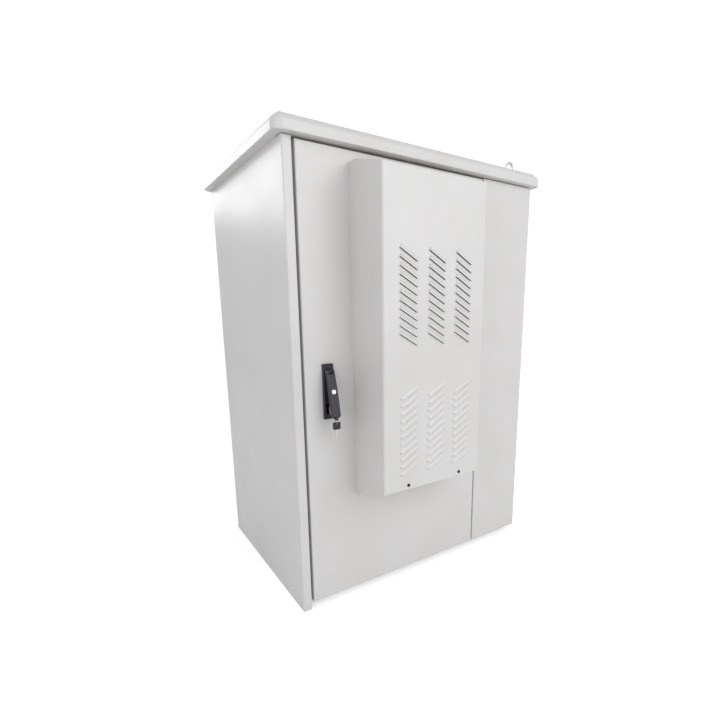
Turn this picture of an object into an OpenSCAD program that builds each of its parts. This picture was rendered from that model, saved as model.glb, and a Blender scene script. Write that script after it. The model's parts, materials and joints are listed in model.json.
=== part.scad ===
// Roadside utility cabinet: a folded sheet-metal housing with one hinged door,
// a door-mounted air-to-air cooler, a swing handle and a 19-inch rack inside.
// Millimetres. +Z is up, the door faces -Y, and the origin is the centre of
// the four anchor holes, on the ground.

/* [Cabinet] */
// Width over the side panels
cab_w = 990; // [900:1:1300]
// Depth from the door's face to the back panel's face
cab_d = 720; // [600:1:1100]
// Height from the ground to the underside of the roof
cab_h = 1400; // [1250:1:2000]
// Thickness of the folded sheets
sheet_t = 2; // [1.5:0.1:2.5]
// Bend radius at the middle of a sheet
bend_r = 3; // [2:0.1:4]

/* [Door] */
// Width of the door
door_w = 699; // [640:1:760]
// Depth of the door tray
door_depth = 30; // [28:1:40]
// Width of the left corner post's face
post_w = 28.5; // [20:0.5:40]
// Gap between the left post and the door
post_gap = 8.5; // [4:0.5:12]
// Seam between the door and the fixed front panel
seam = 5; // [4.5:0.1:8]
// Height of the door's lower edge above the ground
ground_gap = 22; // [15:1:35]
// Gap between the door's top and the roof
top_gap = 6; // [4:0.5:12]
// Thickness of the compressed door seal
seal_t = 10; // [8:0.5:14]
// Width of the door seal
seal_w = 18; // [12:1:20]
// Width of the flange that carries the seal
lip_w = 31; // [31:1:36]

/* [Roof] */
// Overhang of the roof past each side
roof_side = 28; // [5:1:40]
// Overhang of the roof past the door
roof_front = 25.5; // [10:0.5:60]
// Overhang of the roof past the back
roof_rear = 17; // [5:1:40]
// Height of the upright edge of the roof
fascia_h = 28; // [20:1:50]
// Height of the sloping edge above it
crown_h = 20; // [12:1:40]
// Run of the sloping edge
crown_run = 22; // [10:1:25]
// Radius of the roof's upright corners
roof_r = 30; // [28:1:50]
// Distance of the lifting points from the side faces
lift_inset_x = 64; // [50:1:120]
// Distance of the lifting points from the front and back faces
lift_inset_y = 52; // [52:1:120]
// Diameter of the lifting eyes' threads
lift_d = 10; // [8:1:12]
// Outside diameter of a lifting eye
eye_d = 45; // [36:1:54]
// Diameter of the bar of a lifting eye
eye_bar = 9; // [6:0.5:12]

/* [Base] */
// Height of the base frame
base_h = 60; // [50:1:120]
// Thickness of the base frame's steel
base_t = 3; // [2:0.5:5]
// Width of the base frame's lower flange
foot_flange = 88; // [80:1:120]
// Distance between the anchor holes across the cabinet
anchor_x = 860; // [700:1:900]
// Distance between the anchor holes from front to back
anchor_y = 580; // [480:1:620]
// Diameter of the anchor holes
anchor_d = 14; // [10:1:20]

/* [Climate unit] */
// Width of the outer cover
cover_w = 384; // [360:1:440]
// Depth of the outer cover in front of the door
cover_d = 170; // [150:1:220]
// Height of the cover where it meets the door
cover_h = 1000; // [940:1:1060]
// Height of the cover's lower edge above the ground
cover_z = 362; // [340:1:420]
// Distance of the cover's left side from the door's left edge
cover_in = 163; // [150:1:180]
// Depth of the straight part of the cover's top and bottom
cover_step = 34; // [10:1:60]
// Height lost by the cover's sloping bottom
cover_slope = 47.5; // [20:0.5:60]
// Height lost by the cover's sloping top
cover_slope_top = 36; // [20:0.5:60]
// Louvres in each column
louvres = 11; // [6:1:12]
// Length of a louvre
louvre_l = 71; // [40:1:76]
// Width of a louvre across its length
louvre_w = 11; // [8:0.5:13]
// How far a louvre stands out of the cover
louvre_h = 5.5; // [4:0.5:7]
// Distance between louvres down a column
louvre_pitch = 23.4; // [18:0.1:26]
// Distance between the louvre columns
louvre_col = 103.7; // [90:0.1:112]
// Slant of the louvres
louvre_a = 29; // [10:1:35]
// Height of the middle of the upper louvres
louvre_top_z = 987; // [900:1:1100]
// Height of the middle of the lower louvres
louvre_low_z = 596; // [560:1:640]
// Side of a fan's square frame
fan_w = 172; // [120:1:172]
// Depth of a fan
fan_d = 38; // [32:1:51]

/* [Handle] */
// Distance of the handle's middle from the door's left edge
handle_in = 72; // [60:1:90]
// Height of the handle base's lower end
handle_z = 625; // [500:1:900]
// Length of the handle base
handle_l = 168; // [150:1:200]
// Width of the handle base
handle_w = 34; // [30:1:40]
// Thickness of the handle base
handle_t = 10; // [9:0.5:12]
// Diameter of the spindle
spindle_d = 12; // [10:1:14]
// Distance of the lever's pivot below the base's top end
pivot_drop = 22; // [18:1:28]
// Length of the lever below its pivot
lever_l = 141; // [120:1:145]
// Width of the lever
lever_w = 26; // [24:1:32]
// Angle of the lever away from the door
lever_open = 14; // [5:1:25]
// Radius from the spindle to the rods' drive pins
crank_r = 14; // [12:1:16]

/* [Hinges] */
// Diameter of the hinge pins
pin_d = 6; // [5:0.5:6]
// Distance of the hinge axis from the door's right edge and its face
hinge_in = 8; // [8:0.1:8.5]
// Height of the middle barrel of a hinge
barrel_h = 24; // [18:1:40]
// Height of each door lug
lug_h = 12; // [8:1:20]

/* [Rack] */
// Distance between the rack rails' holes
rack_pitch = 465; // [465:0.1:466]
// Rack units between the beams
rack_units = 26; // [20:1:27]
// Distance of the front rails behind the door's face
rail_back = 140; // [130:1:180]
// Distance between the front and rear rails
rail_depth = 430; // [350:1:440]
// Thickness of the rack steel
rail_t = 2.5; // [2:0.5:3]
// Height of the beams that carry the rails
beam_h = 25; // [20:1:40]

/* [Hidden] */
$fn = 48;

// Clearances
run = 0.05;       // shaft in its bore
slide = 0.4;      // sliding pieces
near = 0.3;       // pieces of different bodies that lie against each other
bolt_gap = 0.25;  // bolt in its hole
weld_gap = 0.1;   // solids welded end to end
cut = 1;          // how far a cutter passes its face

// Planes of the housing
left = -cab_w / 2;
right = cab_w / 2;
front = -cab_d / 2;
back = cab_d / 2;
t = sheet_t;
frame_y = front + door_depth + seal_t;      // front face of the sealing frame
body_top = cab_h - t;                       // underside of the ceiling plate
floor_z = base_h + t;                       // top of the floor plate
nook = bend_r - t / 2;                      // inside radius of a bend

// Door
door_x0 = left + post_w + post_gap;
door_x1 = door_x0 + door_w;
door_z0 = ground_gap;
door_z1 = cab_h - top_gap;
door_back = front + door_depth;
fixed_x0 = door_x1 + seam;

// Opening in the sealing frame
open_x0 = door_x0 + 33;
open_x1 = door_x1 - 41;
open_z0 = base_h + 30;
open_z1 = door_z1 - 34;
rain_lip = 7;

// Hinges
axis_x = door_x1 - hinge_in;
axis_y = front + hinge_in;
barrel_r = hinge_in - t - 0.5;
arm_w = 6;
foot_t = 3;
foot_h = 60;
hinge_screw_z = 21;
hinge_screw_d = 5;
hinge_zs = [door_z0 + 128, (door_z0 + door_z1) / 2, door_z1 - 144];

// Roof
roof_z = cab_h;
roof_top = roof_z + fascia_h + crown_h;
lift_x = cab_w / 2 - lift_inset_x;
lift_y = cab_d / 2 - lift_inset_y;
lift_pts = [[lift_x, -lift_y], [-lift_x, lift_y]];
plain_pts = [[-lift_x, -lift_y], [lift_x, lift_y]];
bearer_w = 40;
bearer_gap = 2;                             // between the bearers and the roof's lip
roof_seat = 8;                              // how far the lip lies on the ceiling plate
washer_t = 2;
head_h = 6.4;
nut_h = 8;
nut_r = lift_d * 0.96;

// Rack
rack_x = (open_x0 + open_x1) / 2;
rail_face = 30;
rail_leg = 45;
rail_bore_in = 9;
rail_y = front + rail_back;
rail_z0 = floor_z + beam_h;
rail_z1 = body_top - beam_h;
rail_in = rack_pitch / 2 - rail_bore_in;
unit = 44.45;

// Climate unit
cover_x0 = door_x0 + cover_in;
cover_x1 = cover_x0 + cover_w;
cover_x = (cover_x0 + cover_x1) / 2;
cover_front = front - cover_d;
cover_z1 = cover_z + cover_h;
flat_z0 = cover_z + cover_slope;
flat_z1 = cover_z1 - cover_slope_top;
unit_x0 = cover_x0 + 25;
unit_x1 = cover_x1 - 25;
unit_z0 = cover_z + 35;
unit_z1 = cover_z1 - 35;
unit_front = front - 110;
unit_back = front + 60;
fan_plate_y = unit_front + 40;
outer_fan_z = unit_z0 + 17 + fan_w / 2;
inner_fan_z = unit_z1 - 17 - fan_w / 2;
core_z0 = outer_fan_z + fan_w / 2 + 30;
core_z1 = inner_fan_z - fan_w / 2 - 30;
louvre_t = 1.2;
louvre_end = 0.75;
lip_cut = 0.5;
cover_screw_x = cover_w * 0.27;
cover_screw_z = flat_z0 + 12.5;
screw_m = 4;

// Handle
handle_x = door_x0 + handle_in;
handle_front = front - handle_t;
spin_z = handle_z + handle_l - pivot_drop;
lever_r = 6.5;
pivot_y = handle_front - lever_r - 0.5;
lever_pin_d = 4;
hub_w = 14;
lock_drop = 62;
lock_d = 13;
catch_drop = 114;
catch_w = 16;
catch_h = 24;
catch_l = 17;
catch_bar = 5;
catch_play = 4;
lug_d = 12;
lug_t = 4;
ring_bore = 4;
ring_wire = 1.8;
ring_r = 6;
ring_drop = lever_l + lug_d / 2 - 2;
disc_y = frame_y + 5;
disc_t = 4;
crank_r0 = 22;
crank_pin_d = 6;
rod_y = disc_y + disc_t + 1.5;
rod_t = 5;
rod_w = 20;
rod_side = 12;
crank_a = 45;
pin_play = 0.7;
rod_end_play = 1;
rod_lift = crank_r * sin(crank_a);
upper_tip = open_z1 - 10;
lower_tip = open_z0 + 10;
guide_h = 14;
guide_w = 56;
upper_guides = [spin_z + 200, upper_tip - 40];
lower_guides = [lower_tip + 40, spin_z - 300];

paint = [0.86, 0.86, 0.83];
zinc = [0.72, 0.73, 0.74];
black = [0.13, 0.12, 0.15];
rubber = [0.08, 0.08, 0.08];
nickel = [0.78, 0.78, 0.77];
copper = [0.78, 0.5, 0.3];

// A box between two opposite corners
module block(a, b) { translate(a) cube(b - a); }

// A hole or a bar along Y, from y0 to y1
module along_y(x, z, y0, y1, d) {
  translate([x, y0, z]) rotate([-90, 0, 0]) cylinder(d = d, h = y1 - y0);
}

// A hole or a bar along X, centred
module along_x(x, y, z, l, d) {
  translate([x, y, z]) rotate([0, 90, 0]) cylinder(d = d, h = l, center = true);
}

function dir(a, b) = (b - a) / norm(b - a);

// Section of a folded sheet along the middle of its thickness, with square bends
module fold(path, th, r) {
  last = len(path) - 1;
  for (i = [0 : last - 1]) {
    d = dir(path[i], path[i + 1]);
    a = path[i] + (i > 0 ? d * r : [0, 0]);
    b = path[i + 1] - (i < last - 1 ? d * r : [0, 0]);
    lo = [min(a.x, b.x) - abs(d.y) * th / 2, min(a.y, b.y) - abs(d.x) * th / 2];
    hi = [max(a.x, b.x) + abs(d.y) * th / 2, max(a.y, b.y) + abs(d.x) * th / 2];
    translate(lo) square(hi - lo);
  }
  for (i = [1 : last - 1]) {
    d1 = dir(path[i - 1], path[i]);
    d2 = dir(path[i], path[i + 1]);
    c = path[i] - d1 * r + d2 * r;
    q = (d1 - d2) * (r + th);
    translate(c) intersection() {
      difference() { circle(r + th / 2); circle(r - th / 2); }
      translate([min(0, q.x), min(0, q.y)]) square([abs(q.x), abs(q.y)]);
    }
  }
}

// A folded sheet standing upright
module upright(path, z0, z1, th = t) {
  translate([0, 0, z0]) linear_extrude(z1 - z0) fold(path, th, bend_r);
}

// A folded sheet lying along X; the section is drawn in Y and Z
module lengthwise(path, x0, x1, th = t) {
  translate([x0, 0, 0]) rotate([90, 0, 90]) linear_extrude(x1 - x0) fold(path, th, bend_r);
}

// Outline in X and depth with its two front corners rounded
module front_round(x0, x1, y0, y1, r) {
  union() {
    translate([x0, y0 + r]) square([x1 - x0, y1 - y0 - r]);
    translate([x0 + r, y0]) square([x1 - x0 - 2 * r, r]);
    for (x = [x0 + r, x1 - r]) translate([x, y0 + r]) circle(r);
  }
}

// A block with all four edges of its front face rounded
module pillow(x0, x1, y0, y1, z0, z1, r) {
  intersection() {
    translate([0, 0, z0]) linear_extrude(z1 - z0) front_round(x0, x1, y0, y1, r);
    translate([x1, 0, 0]) mirror([1, 0, 0]) rotate([0, -90, 0])
      translate([0, 0, x0 - x1]) linear_extrude(x1 - x0) front_round(z0, z1, y0, y1, r);
  }
}

// A tray that opens to the back
module tray(x0, x1, y0, y1, z0, z1) {
  r = bend_r + t / 2;
  difference() {
    pillow(x0, x1, y0, y1, z0, z1, r);
    pillow(x0 + t, x1 - t, y0 + t, y1 + cut + r, z0 + t, z1 - t, r - t);
  }
}

// A flat ring between two rectangles, lying across Y
module ring_y(a0, a1, y0, y1, in) {
  difference() {
    block([a0.x, y0, a0.y], [a1.x, y1, a1.y]);
    block([a0.x + in, y0 - cut, a0.y + in], [a1.x - in, y1 + cut, a1.y - in]);
  }
}

module at_lift(pts) { for (p = pts) translate([p.x, p.y, 0]) children(); }

// ---- Housing ----

module left_side_panel() {
  h = t / 2;
  in_x = left + post_w - h;
  color(paint) difference() {
    upright([[in_x, frame_y + t], [in_x, front + h], [left + h, front + h],
             [left + h, back - t - h], [left + 30, back - t - h]], 0, body_top);
    rear_holes();
  }
}

module right_side_panel() {
  h = t / 2;
  color(paint) difference() {
    upright([[right - 58, frame_y + t + h], [right - h, frame_y + t + h],
             [right - h, back - t - h], [right - 30, back - t - h]], 0, body_top);
    rear_holes();
  }
}

rear_screw_xs = [left + 18, right - 18];
rear_screw_n = 6;
function rear_screw_z(i) = door_z0 + 60 + i * (body_top - door_z0 - 120) / (rear_screw_n - 1);

module rear_spots() {
  for (x = rear_screw_xs, i = [0 : rear_screw_n - 1]) translate([x, back, rear_screw_z(i)]) children();
}

module rear_holes() {
  rear_spots() translate([0, -20, 0]) rotate([-90, 0, 0]) cylinder(d = 6 + 2 * bolt_gap, h = 21);
}

module rear_panel() {
  color(paint) difference() {
    block([left + t + 1, back - t, door_z0 + 4], [right - t - 1, back, body_top - 2]);
    rear_holes();
  }
}

module rear_screws() {
  color(zinc) rear_spots() rotate([-90, 0, 0]) union() {
    translate([0, 0, -16]) cylinder(d = 6, h = 16);
    cylinder(d = 12, h = 1.5);
    translate([0, 0, 1.5]) cylinder(r1 = 5.5, r2 = 4, h = 2);
  }
}

// A channel along X that opens to +Y, with its back on the X axis
module channel(l) {
  difference() {
    block([-l / 2, 0, 0], [l / 2, foot_flange, base_h]);
    block([-l / 2 - cut, base_t, base_t], [l / 2 + cut, foot_flange + cut, base_h - base_t]);
  }
}

// Cross channels at the front and back, with the side channels welded between them
module base_frame() {
  x = cab_w / 2 - t;
  y0 = frame_y + 2 * t + nook;
  y1 = back - 2 * t - nook;
  side_l = y1 - y0 - 2 * (foot_flange + weld_gap);
  color(zinc) difference() {
    union() {
      translate([0, y0, 0]) channel(2 * x);
      translate([0, y1, 0]) rotate([0, 0, 180]) channel(2 * x);
      translate([-x, (y0 + y1) / 2, 0]) rotate([0, 0, -90]) channel(side_l);
      translate([x, (y0 + y1) / 2, 0]) rotate([0, 0, 90]) channel(side_l);
    }
    for (ax = [-1, 1], ay = [-1, 1])
      translate([ax * anchor_x / 2, ay * anchor_y / 2, -cut]) cylinder(d = anchor_d, h = base_t + 2 * cut);
  }
}

gland_x = 360;
gland_y = 160;
gland_mid_y = rail_y + rail_depth / 2;
grommet_d = 60;

module floor_plate() {
  color(zinc) difference() {
    block([left + t, frame_y + 2 * t + nook, base_h], [right - t, back - 2 * t - nook, floor_z]);
    block([rack_x - gland_x / 2, gland_mid_y - gland_y / 2, base_h - cut],
          [rack_x + gland_x / 2, gland_mid_y + gland_y / 2, floor_z + cut]);
  }
}

module grommet_spots() {
  for (ix = [-1.5 : 1 : 1.5], iy = [-0.5, 0.5])
    translate([rack_x + ix * 80, gland_mid_y + iy * 72, floor_z]) children();
}

module gland_plate() {
  color(zinc) difference() {
    block([rack_x - gland_x / 2 - 20, gland_mid_y - gland_y / 2 - 20, floor_z],
          [rack_x + gland_x / 2 + 20, gland_mid_y + gland_y / 2 + 20, floor_z + 3]);
    grommet_spots() translate([0, 0, -cut]) cylinder(d = grommet_d, h = 3 + 2 * cut);
  }
}

// Closed membrane grommets, pierced on site when a cable goes in
module grommet() {
  difference() {
    union() {
      translate([0, 0, -4]) cylinder(d = grommet_d - 0.2, h = 10);
      translate([0, 0, 3]) cylinder(d = grommet_d + 6, h = 3);
    }
    translate([0, 0, -5]) cylinder(d = grommet_d - 8, h = 8);
  }
}
module gland_grommets() { color(rubber) grommet_spots() grommet(); }

module lift_holes() {
  for (x = [-lift_x, lift_x], y = [-lift_y, lift_y])
    translate([x, y, body_top - cut]) cylinder(d = lift_d + 2 * bolt_gap, h = roof_top - body_top + 2 * cut);
}

module ceiling_plate() {
  color(paint) difference() {
    block([left, frame_y, body_top], [right, back, cab_h]);
    lift_holes();
  }
}

module roof_bearers() {
  l = lift_x + 30;
  color(zinc) difference() {
    for (y = [-lift_y, lift_y]) difference() {
      block([-l, y - bearer_w / 2, roof_z], [l, y + bearer_w / 2, roof_top - t]);
      block([-l - cut, y - bearer_w / 2 + t, roof_z + t], [l + cut, y + bearer_w / 2 - t, roof_top - 2 * t]);
    }
    lift_holes();
  }
}

// The roof's outer form, or its inside when g is the sheet's thickness
module roof_form(g) {
  r = roof_r - g;
  x = cab_w / 2 + roof_side - roof_r;
  y0 = front - roof_front + roof_r;
  y1 = back + roof_rear - roof_r;
  hull() {
    for (px = [-x, x], py = [y0, y1]) translate([px, py, 0]) union() {
      cylinder(r = r, h = fascia_h, $fn = 32);
      translate([0, 0, fascia_h]) cylinder(r1 = r, r2 = r - crown_run, h = crown_h - g, $fn = 32);
    }
  }
}

module roof_canopy() {
  color(paint) difference() {
    translate([0, 0, roof_z]) roof_form(0);
    difference() {
      translate([0, 0, roof_z - cut]) union() { roof_form(t); translate([0, 0, cut]) roof_form(t); }
      difference() {
        block([left - roof_side, front - roof_front, roof_z], [right + roof_side, back + roof_rear, roof_z + t]);
        block([left + roof_seat, -lift_y - bearer_w / 2 - bearer_gap, roof_z - cut],
              [right - roof_seat, back - roof_seat, roof_z + 2 * t]);
      }
    }
    lift_holes();
  }
}

module lifting_eyes() {
  bar = eye_d / 2 - eye_bar / 2;
  color(zinc) at_lift(lift_pts) union() {
    translate([0, 0, body_top - 14]) cylinder(d = lift_d, h = roof_top - body_top + 14);
    translate([0, 0, roof_top]) cylinder(d1 = 25, d2 = 17, h = 8);
    translate([0, 0, roof_top + eye_d / 2]) rotate([90, 0, 0])
      rotate_extrude() translate([bar, 0]) circle(d = eye_bar);
  }
}

module roof_bolts() {
  color(zinc) at_lift(plain_pts) union() {
    translate([0, 0, body_top - 14]) cylinder(d = lift_d, h = roof_top - body_top + 14);
    translate([0, 0, roof_top]) cylinder(d = 2 * lift_d, h = washer_t);
    translate([0, 0, roof_top + washer_t]) cylinder(r = nut_r, h = head_h, $fn = 6);
  }
}

module roof_nuts() {
  color(zinc) at_lift(concat(lift_pts, plain_pts)) difference() {
    translate([0, 0, body_top - nut_h]) cylinder(r = nut_r, h = nut_h, $fn = 6);
    translate([0, 0, body_top - nut_h - cut]) cylinder(d = lift_d + 2 * run, h = nut_h + 2 * cut);
  }
}

module front_frame() {
  color(paint) difference() {
    union() {
      block([left + post_w, frame_y, door_z0 + 4], [right - t, frame_y + t, body_top]);
      block([open_x0 - t, frame_y - rain_lip, open_z0 - t], [open_x1 + t, frame_y, open_z1 + t]);
    }
    block([open_x0, frame_y - rain_lip - cut, open_z0], [open_x1, frame_y + t + cut, open_z1]);
    hinge_screw_spots() cylinder(d = hinge_screw_d + 2 * bolt_gap, h = 40, center = true);
  }
}

module fixed_front_panel() {
  color(paint) tray(fixed_x0, right, front, frame_y, door_z0, body_top);
}

// ---- Hinges ----

module at_hinges() { for (z = hinge_zs) translate([axis_x, axis_y, z]) children(); }

module hinge_screw_spots() {
  at_hinges() for (s = [-1, 1])
    translate([3, frame_y - axis_y, s * hinge_screw_z]) rotate([90, 0, 0]) children();
}

module hinge_brackets() {
  fy = frame_y - axis_y;
  color(zinc) difference() {
    at_hinges() union() {
      translate([0, 0, -barrel_h / 2]) cylinder(r = barrel_r, h = barrel_h);
      block([-arm_w / 2, 0, -barrel_h / 2], [arm_w / 2, fy - foot_t, barrel_h / 2]);
      block([-arm_w / 2 - 3, fy - foot_t, -foot_h / 2], [12, fy, foot_h / 2]);
    }
    at_hinges() cylinder(d = pin_d + 2 * run, h = barrel_h + 2 * cut, center = true);
    hinge_screw_spots() cylinder(d = hinge_screw_d + 2 * bolt_gap, h = 40, center = true);
  }
}

module hinge_screws() {
  color(zinc) hinge_screw_spots() union() {
    translate([0, 0, -12]) cylinder(d = hinge_screw_d, h = 12 + foot_t);
    translate([0, 0, foot_t]) cylinder(d = 9, h = 2.5);
  }
}

module hinge_lugs() {
  gap = 0.5;
  color(zinc) at_hinges() for (s = [-1, 1]) {
    z0 = s > 0 ? barrel_h / 2 + gap : -barrel_h / 2 - gap - lug_h;
    difference() {
      union() {
        block([-barrel_r, -hinge_in + t + nook, z0], [hinge_in - t, barrel_r + 2, z0 + lug_h]);
        block([-barrel_r, -hinge_in + t, z0], [hinge_in - t - nook, 0, z0 + lug_h]);
      }
      translate([0, 0, z0 - cut]) cylinder(d = pin_d + 2 * run, h = lug_h + 2 * cut);
    }
  }
}

module hinge_pins() {
  l = barrel_h + 2 * lug_h + 1;
  color(zinc) at_hinges() union() {
    cylinder(d = pin_d, h = l, center = true);
    translate([0, 0, l / 2]) cylinder(d = pin_d + 3, h = 2);
  }
}

// ---- Door ----

module door_panel() {
  color(paint) difference() {
    union() {
      tray(door_x0, door_x1, front, door_back, door_z0, door_z1);
      ring_y([door_x0 + t, door_z0 + t], [door_x1 - t, door_z1 - t], door_back - t, door_back, lip_w - t);
    }
    block([unit_x0 - 4, front - cut, unit_z0 - 4], [unit_x1 + 4, front + t + cut, unit_z1 + 4]);
    block([handle_x - 11, front - cut, handle_z + 14],
          [handle_x + 11, front + t + cut, handle_z + handle_l - 8]);
    at_hinges() block([-arm_w / 2 - 4, -hinge_in + t + slide, -barrel_h / 2 - 1],
                      [hinge_in + cut, door_depth, barrel_h / 2 + 1]);
  }
}

seal_in = 9;
module door_gasket() {
  color(rubber) difference() {
    block([door_x0 + seal_in, door_back, door_z0 + seal_in],
          [door_x1 - 16, frame_y - near, door_z1 - seal_in]);
    block([door_x0 + seal_in + seal_w, door_back - cut, door_z0 + seal_in + seal_w],
          [door_x1 - 16 - seal_w, frame_y + cut, door_z1 - seal_in - seal_w]);
  }
}

// Hat sections on the inside of the door's face
module door_stiffeners() {
  y0 = front + t + t / 2;
  d = 16;
  color(zinc) for (x = [unit_x0 - 52, unit_x1 + 52])
    upright([[x - 24, y0], [x - 12, y0], [x - 12, y0 + d], [x + 12, y0 + d], [x + 12, y0], [x + 24, y0]],
            door_z0 + lip_w + 10, door_z1 - lip_w - 10);
}

module document_pocket() {
  x0 = cover_x - 120;
  x1 = cover_x + 120;
  y0 = front + t;
  z0 = open_z0 + 20;
  color(black) difference() {
    block([x0, y0, z0], [x1, y0 + 46, z0 + 200]);
    block([x0 + t, y0 + t, z0 + t], [x1 - t, y0 + 46 - t, z0 + 200 + cut]);
  }
}

// ---- Climate unit ----

// Side outline of the cover: straight at the door, then sloping to the front
module cover_side(g) {
  polygon([[front + (g > 0 ? cut : 0), cover_z + g],
           [front - cover_step, cover_z + g],
           [cover_front + g, flat_z0 + g * 0.8],
           [cover_front + g, flat_z1 - g * 0.8],
           [front - cover_step, cover_z1 - g],
           [front + (g > 0 ? cut : 0), cover_z1 - g]]);
}

module cover_form(g) {
  r = 6 - g;
  y1 = front + (g > 0 ? cut : 0);
  intersection() {
    translate([cover_x0 + g, 0, 0]) rotate([90, 0, 90]) linear_extrude(cover_w - 2 * g) cover_side(g);
    translate([0, 0, cover_z]) linear_extrude(cover_h)
      front_round(cover_x0 + g, cover_x1 - g, cover_front + g, y1, r);
  }
}

// A louvre is pressed out of the sheet as a hood that is open along one side; with a wall, the space in it
module louvre(wall = 0) {
  hollow = wall > 0;
  h = louvre_h - wall;
  depth = hollow ? t + cut : t / 2;
  root = louvre_w / 2 - 2 * wall;
  lip = -louvre_w / 2 - (hollow ? lip_cut : 0);
  end = louvre_l / 2 + (hollow ? 0 : louvre_t);
  slope = louvre_end * (h + cut);
  intersection() {
    rotate([90, 0, 90]) linear_extrude(2 * louvre_l, center = true)
      polygon([[depth, root], [0, root], [-0.48 * h, root - 0.27 * (root - lip)],
               [-0.86 * h, root - 0.63 * (root - lip)], [-h, lip], [depth, lip]]);
    linear_extrude(2 * louvre_w, center = true)
      polygon([[-end, depth + cut], [-end, 0], [slope - end, -h - cut],
               [end - slope, -h - cut], [end, 0], [end, depth + cut]]);
  }
}

module louvre_field(zm, slant) {
  for (c = [-1 : 1], i = [0 : louvres - 1])
    translate([cover_x + c * louvre_col, cover_front, zm + (i - (louvres - 1) / 2) * louvre_pitch])
      rotate([0, slant, 0]) children();
}

module louvre_fields() {
  louvre_field(louvre_top_z, louvre_a) children();
  louvre_field(louvre_low_z, -louvre_a) children();
}

module climate_cover() {
  color(paint) difference() {
    union() {
      cover_form(0);
      louvre_fields() louvre();
    }
    cover_form(t);
    louvre_fields() louvre(louvre_t);
    for (s = [-1, 1])
      along_y(cover_x + s * cover_screw_x, cover_screw_z, cover_front - cut, cover_front + t + cut, screw_m + 2 * bolt_gap);
  }
}

module cover_screws() {
  color(black) for (s = [-1, 1]) union() {
    along_y(cover_x + s * cover_screw_x, cover_screw_z, cover_front - 2.5, cover_front, 10);
    along_y(cover_x + s * cover_screw_x, cover_screw_z, cover_front, cover_front + 16, screw_m);
  }
}

module cover_posts() {
  color(zinc) for (s = [-1, 1]) difference() {
    along_y(cover_x + s * cover_screw_x, cover_screw_z, cover_front + t, fan_plate_y, 10);
    along_y(cover_x + s * cover_screw_x, cover_screw_z, cover_front + t - cut, cover_front + 18, screw_m + 2 * run);
  }
}

module climate_housing() {
  color(zinc) difference() {
    union() {
      block([unit_x0, unit_front, unit_z0], [unit_x1, unit_back, unit_z1]);
      block([unit_x0 - 14, front - t, unit_z0 - 14], [unit_x1 + 14, front, unit_z1 + 14]);
    }
    block([unit_x0 + t, unit_front - cut, unit_z0 + t], [unit_x1 - t, unit_back - t, unit_z1 - t]);
    along_y(cover_x, inner_fan_z, unit_back - t - cut, unit_back + cut, fan_w - 14);
    for (i = [0 : 7])
      block([cover_x - 120, unit_back - t - cut, unit_z0 + 40 + i * 16],
            [cover_x + 120, unit_back + cut, unit_z0 + 48 + i * 16]);
  }
}

module fan_plate() {
  color(zinc) difference() {
    block([unit_x0 + t, fan_plate_y, unit_z0 + t], [unit_x1 - t, fan_plate_y + t, core_z0]);
    along_y(cover_x, outer_fan_z, fan_plate_y - cut, fan_plate_y + t + cut, fan_w - 14);
  }
}

// Plate pack of the air-to-air exchanger, drawn as a comb
module exchanger_core() {
  y0 = unit_front + 20;
  y1 = unit_back - t - fan_d / 2;
  fins = 24;
  fin_t = 1.5;
  gap = (unit_x1 - unit_x0 - 2 * t - fin_t) / fins;
  color(nickel) difference() {
    block([unit_x0 + t, y0, core_z0], [unit_x1 - t, y1, core_z1]);
    for (i = [0 : fins - 1])
      block([unit_x0 + t + fin_t + i * gap, y0 - cut, core_z0 + 3],
            [unit_x0 + t + (i + 1) * gap, y1 - fin_t, core_z1 - 3]);
  }
}

hub_r = 30;
motor_t = 12;
module fan_frame() {
  bore = fan_w - 12;
  difference() {
    block([-fan_w / 2, 0, -fan_w / 2], [fan_w / 2, fan_d, fan_w / 2]);
    along_y(0, 0, -cut, fan_d + cut, bore);
  }
  difference() {
    union() {
      along_y(0, 0, fan_d - motor_t, fan_d, 2 * hub_r);
      for (a = [0, 90, 180, 270]) rotate([0, a + 45, 0])
        block([hub_r - 5, fan_d - 4, -3], [bore / 2 + 1, fan_d, 3]);
    }
  }
  along_y(0, 0, 8, fan_d - motor_t, 6);
}

module fan_rotor() {
  bore = fan_w - 12;
  blade_y = (fan_d - motor_t) / 2;
  difference() {
    union() {
      along_y(0, 0, 4, fan_d - motor_t - 0.5, 2 * hub_r);
      for (i = [0 : 6]) rotate([0, i * 360 / 7, 0]) translate([hub_r - 2, blade_y, 0])
        rotate([35, 0, 0]) block([0, -1, -15], [bore / 2 - hub_r - 1, 1, 15]);
    }
    along_y(0, 0, 3, fan_d, 6 + 2 * run);
  }
}

module outer_fan_at() { translate([cover_x, fan_plate_y - fan_d, outer_fan_z]) children(); }
module inner_fan_at() { translate([cover_x, unit_back - t - fan_d, inner_fan_z]) children(); }

module outer_fan_frame() { color(black) outer_fan_at() fan_frame(); }
module inner_fan_frame() { color(black) inner_fan_at() fan_frame(); }
module outer_fan_rotor() { color(black) outer_fan_at() fan_rotor(); }
module inner_fan_rotor() { color(black) inner_fan_at() fan_rotor(); }

module climate_controller() {
  color(zinc) block([unit_x1 - t - 60, fan_plate_y + t, unit_z0 + 20],
                    [unit_x1 - t - 12, fan_plate_y + t + 40, unit_z0 + 120]);
}

// ---- Handle and lock rods ----

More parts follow.
